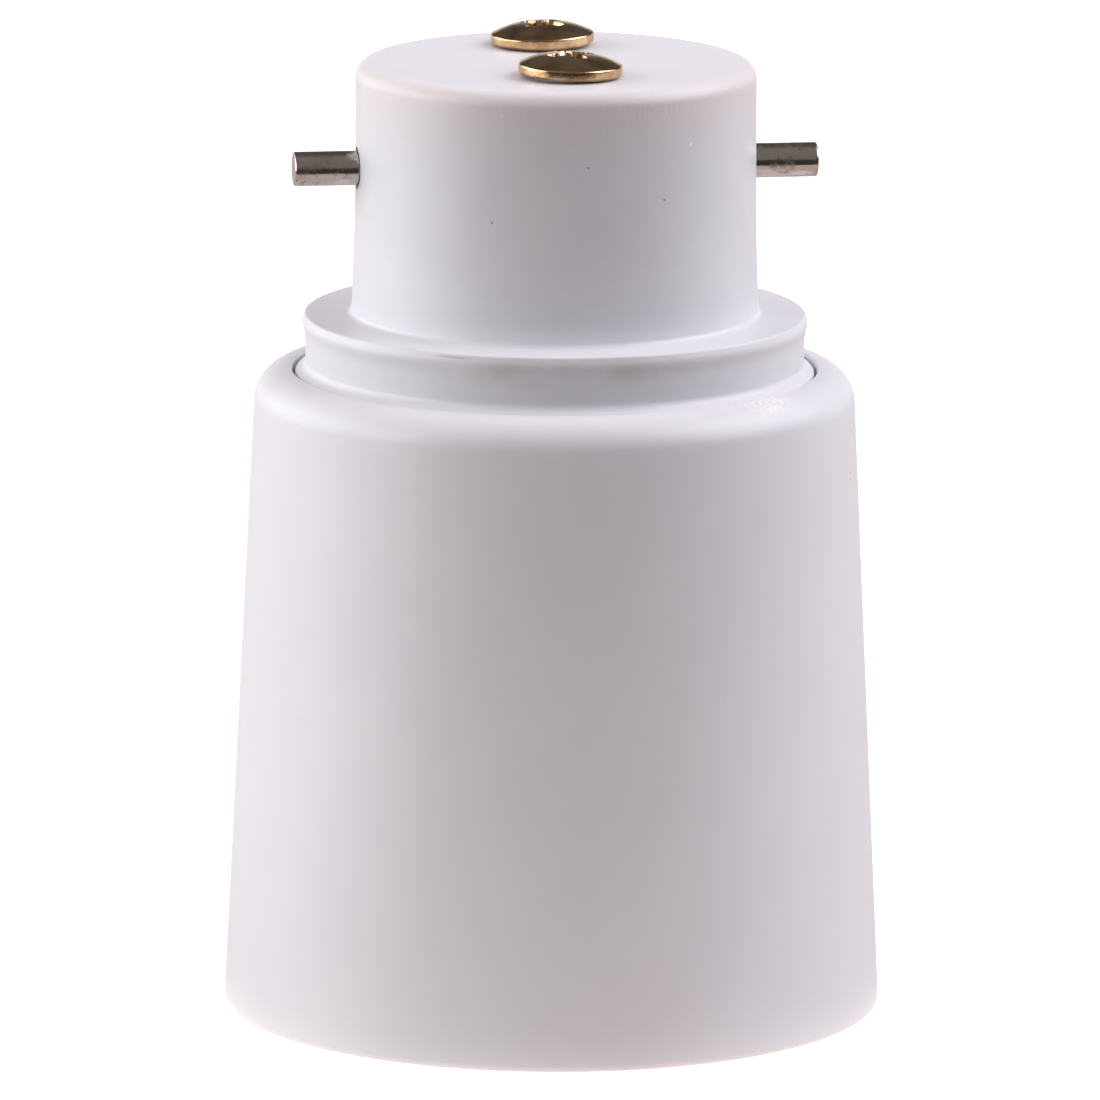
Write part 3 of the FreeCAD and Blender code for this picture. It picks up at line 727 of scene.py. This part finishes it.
def thread_tree():
    """Rolls a flat grid, one turn wide, into the shell: plain mouth, right-hand thread of two
    tangent arcs that fades in and out, plain end and flange. A row of the tables gives a
    result, an operation and its terms."""
    tree, given, result = shape_tree("rolled thread", {
        "Columns": "Int", "Wall rows": "Int", "Flange rows": "Int", "Mouth height": "Float",
        "Wall height": "Float", "Flange width": "Float", "Pitch": "Float", "Root radius": "Float",
        "Thread depth": "Float", "Mouth radius": "Float", "Mouth length": "Float",
        "End radius": "Float", "End length": "Float"})
    here = add(tree, "GeometryNodeInputPosition")
    at = add(tree, "ShaderNodeSeparateXYZ", {0: here}).outputs
    known = {"grid_x": at[0], "grid_y": at[1], "columns": given["Columns"],
             "wall_rows": given["Wall rows"], "flange_rows": given["Flange rows"],
             "mouth_z": given["Mouth height"], "wall_h": given["Wall height"],
             "flange_w": given["Flange width"], "pitch": given["Pitch"],
             "root_r": given["Root radius"], "depth": given["Thread depth"],
             "mouth_len": given["Mouth length"], "end_len": given["End length"]}
    for name, operation, *terms in (
            ("rows", "ADD", "wall_rows", "flange_rows"),
            ("points_x", "ADD", "columns", 1.0), ("points_y", "ADD", "rows", 1.0),
            ("turn", "ADD", "grid_x", 0.5), ("row_share", "ADD", "grid_y", 0.5),
            ("near_row", "MULTIPLY", "row_share", "rows"), ("row", "ROUND", "near_row"),
            ("wall_row", "MINIMUM", "row", "wall_rows"),
            ("wall_share", "DIVIDE", "wall_row", "wall_rows"),
            ("past_wall", "SUBTRACT", "row", "wall_rows"),
            ("flange_row", "MAXIMUM", "past_wall", 0.0),
            ("flange_share", "DIVIDE", "flange_row", "flange_rows"),
            ("up", "MULTIPLY", "wall_share", "wall_h"),
            ("half", "MULTIPLY", "pitch", 0.5),
            ("lead", "MULTIPLY", "pitch", "turn"), ("past_lead", "SUBTRACT", "up", "lead"),
            ("away", "PINGPONG", "past_lead", "half"), ("rest", "SUBTRACT", "half", "away"),
            ("half_2", "MULTIPLY", "half", "half"), ("depth_2", "MULTIPLY", "depth", "depth"),
            ("chord_2", "ADD", "half_2", "depth_2"), ("depth_4", "MULTIPLY", "depth", 4.0),
            ("arc", "DIVIDE", "chord_2", "depth_4"), ("arc_2", "MULTIPLY", "arc", "arc"),
            ("root_centre", "SUBTRACT", "root_r", "arc"), ("away_2", "MULTIPLY", "away", "away"),
            ("root_leg_2", "SUBTRACT", "arc_2", "away_2"), ("root_leg", "SQRT", "root_leg_2"),
            ("near_root", "ADD", "root_centre", "root_leg"),
            ("crest", "SUBTRACT", "root_r", "depth"), ("crest_centre", "ADD", "crest", "arc"),
            ("rest_2", "MULTIPLY", "rest", "rest"), ("crest_leg_2", "SUBTRACT", "arc_2", "rest_2"),
            ("crest_leg", "SQRT", "crest_leg_2"),
            ("near_crest", "SUBTRACT", "crest_centre", "crest_leg"),
            ("away_twice", "ADD", "away", "away"), ("rooted", "LESS_THAN", "away_twice", "half"),
            ("run_out", "MULTIPLY", "pitch", run_out_turns),
            ("full_from", "ADD", "mouth_len", "run_out"),
            ("gone_by", "SUBTRACT", "wall_h", "end_len"),
            ("full_to", "SUBTRACT", "gone_by", "run_out")):
        inputs = {i: known.get(term, term) for i, term in enumerate(terms)}
        known[name] = add(tree, "ShaderNodeMath", inputs, operation=operation)
    grid = add(tree, "GeometryNodeMeshGrid", {
        "Size X": 1.0, "Size Y": 1.0, "Vertices X": known["points_x"],
        "Vertices Y": known["points_y"]})
    thread = add(tree, "ShaderNodeMix",
                 {0: known["rooted"], 2: known["near_crest"], 3: known["near_root"]})
    begun = add(tree, "ShaderNodeMapRange",
                {0: known["up"], 1: given["Mouth length"], 2: known["full_from"]},
                interpolation_type="SMOOTHSTEP")
    ended = add(tree, "ShaderNodeMapRange",
                {0: known["up"], 1: known["full_to"], 2: known["gone_by"]},
                interpolation_type="SMOOTHSTEP")
    entered = add(tree, "ShaderNodeMix", {0: begun, 2: given["Mouth radius"], 3: thread})
    known["wall"] = add(tree, "ShaderNodeMix", {0: ended, 2: entered, 3: given["End radius"]})
    for name, operation, *terms in (
            ("flange_in", "MULTIPLY", "flange_share", "flange_w"),
            ("radius", "SUBTRACT", "wall", "flange_in"),
            ("angle", "MULTIPLY", "turn", 2 * math.pi),
            ("cosine", "COSINE", "angle"), ("x", "MULTIPLY", "radius", "cosine"),
            ("sine", "SINE", "angle"), ("y", "MULTIPLY", "radius", "sine"),
            ("z", "ADD", "up", "mouth_z")):
        inputs = {i: known.get(term, term) for i, term in enumerate(terms)}
        known[name] = add(tree, "ShaderNodeMath", inputs, operation=operation)
    place = add(tree, "ShaderNodeCombineXYZ", {0: known["x"], 1: known["y"], 2: known["z"]})
    rolled = add(tree, "GeometryNodeSetPosition", {"Geometry": grid, "Position": place})
    closed = add(tree, "GeometryNodeMergeByDistance", {"Geometry": rolled, "Distance": 1e-6})
    both = add(tree, "GeometryNodeJoinGeometry", {0: closed})
    tree.links.new(given["Geometry"], both.inputs[0])
    close_tree(tree, given, result, both)
    return tree


# The tab is a flat ring of faces from the rivet's hole to the tab's square outline.
tab_points = []
tab_faces = []
for k in range(tab_steps):
    angle = 2 * math.pi * (k + 0.5) / tab_steps
    way = Vector((math.cos(angle), math.sin(angle)))
    edge_y = tab_top_y - shell_rivet_y if way.y > 0 else shell_rivet_y - tab_r
    out = min(tab_half / max(abs(way.x), axis_r), edge_y / max(abs(way.y), axis_r))
    tab_points.append((way.x * tab_hole_r, shell_rivet_y + way.y * tab_hole_r, under_z))
    tab_points.append((way.x * out, shell_rivet_y + way.y * out, under_z))
    a, b = 2 * k, 2 * ((k + 1) % tab_steps)
    tab_faces.append((a, a + 1, b + 1, b))
shell = mesh_object("threaded_shell_sheet", tab_points, tab_faces)
run_tree(shell, thread_tree(), {
    "Columns": columns_a_turn, "Wall rows": wall_rows, "Flange rows": flange_rows,
    "Mouth height": mouth_z * MM, "Wall height": (under_z - mouth_z) * MM,
    "Flange width": flange_w * MM, "Pitch": pitch * MM, "Root radius": root_r * MM,
    "Thread depth": thread_depth * MM, "Mouth radius": entry_r * MM,
    "Mouth length": entry_len * MM, "End radius": end_r * MM,
    "End length": (end_len - sheet) * MM, "Material": rolled_sheet()})
# The wall's faces point outwards, the flange's and tab's up: the sheet thickens that way.
shell_mesh = bmesh.new()
shell_mesh.from_mesh(shell.data)
bmesh.ops.recalc_face_normals(shell_mesh, faces=shell_mesh.faces)
wall_face = min(shell_mesh.faces, key=lambda f: f.calc_center_median().z)
if wall_face.normal.xy.dot(wall_face.calc_center_median().xy) < 0:
    bmesh.ops.reverse_faces(shell_mesh, faces=shell_mesh.faces)
for face in shell_mesh.faces:
    flat = face.calc_center_median().z > (under_z - level_within) * MM
    if flat and face.normal.z < 0:
        face.normal_flip()
shell_mesh.to_mesh(shell.data)
shell_mesh.free()
crease(shell.data)
thicken = shell.modifiers.new("sheet", "SOLIDIFY")
thicken.thickness = sheet * MM
thicken.offset = 1.0
thicken.use_even_offset = True
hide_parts("threaded_shell")
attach(shell, "adapter")


# Socket floor: moulded disc of pale glass-filled resin, held between the ledge of the barrel
# and the shell. It carries the centre contact and keeps the two poles apart.
def filled_resin():
    """Glass-filled resin: matt, off-white, with fine darker flecks of filler."""
    material, tree, place = new_material("glass-filled resin")
    flecks = add(tree, "ShaderNodeTexNoise", {"Vector": place, "Scale": per_metre(0.5), "Detail": 4.0})
    share = add(tree, "ShaderNodeMapRange", {0: flecks, 1: 0.45, 2: 0.7})
    colour = add(tree, "ShaderNodeMix", {0: share, 6: linear("#dbd6ca"), 7: linear("#c4bcac")},
                 data_type="RGBA")
    bump = add(tree, "ShaderNodeBump", {"Height": flecks, "Distance": 0.02 * MM})
    surface = add(tree, "ShaderNodeBsdfPrincipled", {
        "Base Color": colour.outputs[2], "Roughness": 0.62, "IOR": 1.52, "Normal": bump})
    add(tree, "ShaderNodeOutputMaterial", {0: surface})
    return material


def dress(node, material):
    """Gives a carried CAD node its material."""
    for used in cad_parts[node].material_slots:
        used.material = material


dress("socket_floor", filled_resin())


# Centre contact: leaf of phosphor bronze strip, bent in a press and riveted under the floor.
# The lamp's tip pushes its rounded nose up, and it springs from the bend by its foot.
leaf_t = 0.4
leaf_w = 5.0
leaf_low = floor_z - leaf_t
leaf_rivet_y = -6.2
nose_z = 25.6
foot_end_y = -8.2
bend_y = -4.3
bend_inner_y = bend_y + 0.25
sheared_edge = 0.05


def bronze_strip():
    """Phosphor bronze strip: red-gold, with lines along it from the rolls, drawn coarse
    enough to show, and a slightly uneven tone."""
    material, tree, place = new_material("phosphor bronze strip")
    rolled = add(tree, "ShaderNodeMapping", {"Vector": place, "Scale": (1.0, 0.06, 0.06)})
    lines = add(tree, "ShaderNodeTexNoise", {"Vector": rolled, "Scale": per_metre(0.1), "Detail": 2.0})
    film = add(tree, "ShaderNodeTexNoise", {"Vector": place, "Scale": per_metre(2.0), "Detail": 3.0})
    colour = add(tree, "ShaderNodeMix", {0: film, 6: linear("#dca67c"), 7: linear("#b9835c")},
                 data_type="RGBA")
    rough = add(tree, "ShaderNodeMapRange", {0: lines, 1: 0.3, 2: 0.7, 3: 0.2, 4: 0.34})
    finish_metal(tree, colour, rough, lines, 0.004)
    return material


# Under side from the foot to the tip past the nose, then back along the upper side.
leaf = slab("centre_contact_leaf", [
    (foot_end_y, leaf_low, 0.12), (bend_y, leaf_low, 0.4), (-1.0, nose_z, 1.2),
    (1.1, nose_z + 0.1, 0.8), (2.4, nose_z + 1.19, 0), (2.1, nose_z + 1.51, 0),
    (0.9, nose_z + leaf_t + 0.12, 0.5), (-0.8, nose_z + leaf_t, 0.9),
    (bend_inner_y, floor_z, 0.8), (foot_end_y, floor_z, 0.12)], leaf_w, "x", 0.5)
leaf.data.materials.append(bronze_strip())
eased = leaf.modifiers.new("sheared edge", "BEVEL")
eased.width = sheared_edge * MM
eased.segments = 2
eased.angle_limit = math.radians(50)
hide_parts("centre_contact")
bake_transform(leaf)


# Rivets: brass, one through the leaf and one through the shell's tab. Each passes through
# the floor, and its end is set over a strip above it.
rivet_r = 1.0
rivet_head_r = 1.65
rivet_head_h = 0.55
rivet_head_round = 0.26
rivet_back_r = 1.25
rivet_back_h = 0.4
rivet_facets = 64
strip_t = 0.5
over_z = ledge_z + strip_t


def plain_brass():
    """Plain brass, cut and headed cold: yellow, satin, faintly mottled."""
    material, tree, place = new_material("plain brass")
    film = add(tree, "ShaderNodeTexNoise", {"Vector": place, "Scale": per_metre(1.5), "Detail": 4.0})
    colour = add(tree, "ShaderNodeMix", {0: film, 6: linear("#dcbf82"), 7: linear("#b99a5c")},
                 data_type="RGBA")
    rough = add(tree, "ShaderNodeMapRange", {0: film, 1: 0.3, 2: 0.7, 3: 0.24, 4: 0.4})
    finish_metal(tree, colour, rough, film, 0.02)
    return material


yellow_brass = plain_brass()
for name, y, under in (("contact_rivet", leaf_rivet_y, leaf_low),
                       ("shell_rivet", shell_rivet_y, under_z)):
    rivet = turned(name + "_brass", [
        (0, under - rivet_head_h, 0), (rivet_head_r, under - rivet_head_h, rivet_head_round),
        (rivet_head_r, under, 0), (rivet_r, under, 0), (rivet_r, over_z, 0),
        (rivet_back_r, over_z, 0), (rivet_back_r, over_z + rivet_back_h, 0.1),
        (0, over_z + rivet_back_h, 0)], rivet_facets, 0.3)
    rivet.data.transform(Matrix.Translation((0, y * MM, 0)))
    rivet.data.materials.append(yellow_brass)
    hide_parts(name)
    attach(rivet, "adapter")


# Strips and nuts: stamped brass strips that join the contact screws to the rivets, inside
# the cap, and hexagon brass nuts. Closed in on all sides, they keep the frame's own shapes.
for node in ("contact_strip_front", "contact_strip_rear", "contact_nut_front", "contact_nut_rear"):
    dress(node, yellow_brass)


# Floor: a pale table that ends a hand's breadth in front of the adapter. It shows as plain
# white and keeps the contact shadow; from below it can be seen through. Near the foot it
# also glows warm for all but camera rays: painted light, unseen itself, on the skirt's rim.
table_r = 500
table_front = -84
table_gap = 0.02
table_sides = 128
table_glow = 0.8
glow_from_r = 24
glow_full_r = 17.5
glow_fall = 3.0


def table_white():
    """Matt pale table top. The camera sees it with a glow that lifts it to white."""
    material, tree, place = new_material("white table")
    ray = add(tree, "ShaderNodeLightPath")
    seen_by_camera = ray.outputs["Is Camera Ray"]
    side = add(tree, "ShaderNodeNewGeometry")
    matt = add(tree, "ShaderNodeBsdfDiffuse", {"Color": linear("#bdb5b0")})
    glow = add(tree, "ShaderNodeEmission", {"Color": (1, 1, 1, 1), "Strength": table_glow})
    seen = add(tree, "ShaderNodeAddShader", {0: matt, 1: glow})
    shown = add(tree, "ShaderNodeMixShader", {0: seen_by_camera, 1: matt, 2: seen})
    clear = add(tree, "ShaderNodeBsdfTransparent")
    under = add(tree, "ShaderNodeMath", {0: seen_by_camera, 1: side.outputs["Backfacing"]},
                operation="MULTIPLY")
    final = add(tree, "ShaderNodeMixShader", {0: under, 1: shown, 2: clear})
    # Painted light: a warm glow on the table near the adapter's foot, seen by every ray but the
    # camera's, lights the skirt's rim.
    reach = add(tree, "ShaderNodeVectorMath", {0: place}, operation="LENGTH")
    near = add(tree, "ShaderNodeMapRange", {
        0: reach.outputs["Value"], 1: glow_from_r * MM, 2: glow_full_r * MM})
    foot_glow_strength = add(tree, "ShaderNodeMath", {0: near, 1: glow_fall}, operation="POWER")
    foot_glow = add(tree, "ShaderNodeEmission", {"Color": linear("#fff0e6"), "Strength": foot_glow_strength})
    with_foot_glow = add(tree, "ShaderNodeAddShader", {0: final, 1: foot_glow})
    whole = add(tree, "ShaderNodeMixShader", {0: seen_by_camera, 1: with_foot_glow, 2: final})
    add(tree, "ShaderNodeOutputMaterial", {0: whole})
    return material


table_edge = []
for k in range(table_sides):
    angle = 2 * math.pi * k / table_sides
    table_edge.append((table_r * math.cos(angle),
                       table_front + table_r + table_r * math.sin(angle), -table_gap))
table = mesh_object("table", table_edge, [tuple(range(table_sides))])
table.data.materials.append(table_white())


# Light: soft lamps left, right and behind left, and a ceiling that is brightest overhead.
# Metal mirrors a white sheet behind and a dim room elsewhere, as its reflections in the
# photo show. A direction's y is 1 straight behind the adapter, and its z is 1 straight up.
room_mirrored = 0.05
sheet_mirrored = 1.0
ceiling_mirrored_front = 0.24
ceiling_mirrored_behind = 0.1
ceiling_front = 0.65
ceiling_behind = 0.85
overhead_gain = 1.75
lamp_distance = 0.6
lamp_aim_z = 25

world = bpy.data.worlds.new("dim room with a white sheet behind")
bpy.context.scene.world = world
world.use_nodes = True
sky = world.node_tree
sky.nodes.clear()
way = add(sky, "ShaderNodeTexCoord").outputs["Generated"]
part = add(sky, "ShaderNodeSeparateXYZ", {0: way}).outputs
path = add(sky, "ShaderNodeLightPath").outputs
behind = add(sky, "ShaderNodeMapRange", {0: part[1], 1: -0.15, 2: 0.45},
             interpolation_type="SMOOTHSTEP")
above = add(sky, "ShaderNodeMapRange", {0: part[2], 1: 0.3, 2: 0.75},
            interpolation_type="SMOOTHSTEP")
low_mirrored = add(sky, "ShaderNodeMix", {0: behind, 2: room_mirrored, 3: sheet_mirrored})
high_mirrored = add(sky, "ShaderNodeMix", {
    0: behind, 2: ceiling_mirrored_front, 3: ceiling_mirrored_behind})
over_sheet = add(sky, "ShaderNodeMapRange", {0: part[2], 1: 0.06, 2: 0.24},
                 interpolation_type="SMOOTHSTEP")
mirrored = add(sky, "ShaderNodeMix", {0: over_sheet, 2: low_mirrored, 3: high_mirrored})
lengthwise = add(sky, "ShaderNodeMix", {0: behind, 2: ceiling_front, 3: ceiling_behind})
overhead = add(sky, "ShaderNodeMapRange",
               {0: part[2], 1: 0.7, 2: 0.95, 3: 1.0, 4: overhead_gain})
ceiling = add(sky, "ShaderNodeMath", {0: above, 1: overhead}, operation="MULTIPLY")
shed = add(sky, "ShaderNodeMath", {0: ceiling, 1: lengthwise}, operation="MULTIPLY")
room = add(sky, "ShaderNodeMix", {0: path["Is Glossy Ray"], 2: shed, 3: mirrored})
level = add(sky, "ShaderNodeMix", {0: path["Is Camera Ray"], 2: room, 3: 1.0})
warm = add(sky, "ShaderNodeMix",
           {0: path["Is Glossy Ray"], 6: linear("#fff0ef"), 7: linear("#fffaf8")},
           data_type="RGBA")
tint = add(sky, "ShaderNodeMix",
           {0: path["Is Camera Ray"], 6: warm.outputs[2], 7: linear("#ffffff")},
           data_type="RGBA")
air = add(sky, "ShaderNodeBackground", {"Color": tint.outputs[2], "Strength": level})
add(sky, "ShaderNodeOutputWorld", {0: air})


def direction(azimuth, elevation):
    """Unit vector from the adapter towards that side; azimuth 0 is the front."""
    a, e = math.radians(azimuth), math.radians(elevation)
    return Vector((math.sin(a) * math.cos(e), -math.cos(a) * math.cos(e), math.sin(e)))


def lamp(name, azimuth, elevation, width, height, watts, colour):
    """Soft lamp that faces the adapter from that side."""
    light = bpy.data.lights.new(name, "AREA")
    light.shape = "RECTANGLE"
    light.size, light.size_y = width, height
    light.energy = watts
    light.color = linear(colour)[:3]
    back = direction(azimuth, elevation)
    obj = bpy.data.objects.new(name, light)
    obj.location = back * lamp_distance + Vector((0, 0, lamp_aim_z * MM))
    obj.rotation_euler = back.to_track_quat("Z", "Y").to_euler()
    obj.visible_camera = False
    bpy.context.scene.collection.objects.link(obj)


lamp("soft lamp left", -91, 15, 0.62, 0.42, 3.0, "#fcfeff")
lamp("soft lamp behind left", -132, 14, 0.3, 0.4, 0.75, "#fcfeff")
lamp("soft lamp right", 83, 38, 0.62, 0.5, 3.5, "#f8f9ff")


# Camera: long lens, a little to the left of the front and 11 degrees above the middle.
lens = 449.2
sensor_w = 36
camera_azimuth = -8.2
camera_elevation = 11.34
camera_distance = 757.4
look_z = 25.35
aim_left = 0.2
roll = 0.3
camera_data = bpy.data.cameras.new("camera")
camera_data.lens = lens
camera_data.sensor_width = sensor_w
camera_data.clip_start, camera_data.clip_end = 0.05, 20
camera = bpy.data.objects.new("camera", camera_data)
bpy.context.scene.collection.objects.link(camera)
middle = Vector((0, 0, look_z)) * MM
right = Vector((math.cos(math.radians(camera_azimuth)), math.sin(math.radians(camera_azimuth)), 0))
aim = middle - right * aim_left * MM
camera.location = middle + direction(camera_azimuth, camera_elevation) * camera_distance * MM
camera.rotation_mode = "QUATERNION"
camera.rotation_quaternion = ((aim - camera.location).to_track_quat("-Z", "Y")
                              @ Matrix.Rotation(math.radians(roll), 3, "Z").to_quaternion())
bpy.context.scene.camera = camera
bpy.context.scene.view_settings.view_transform = "Standard"
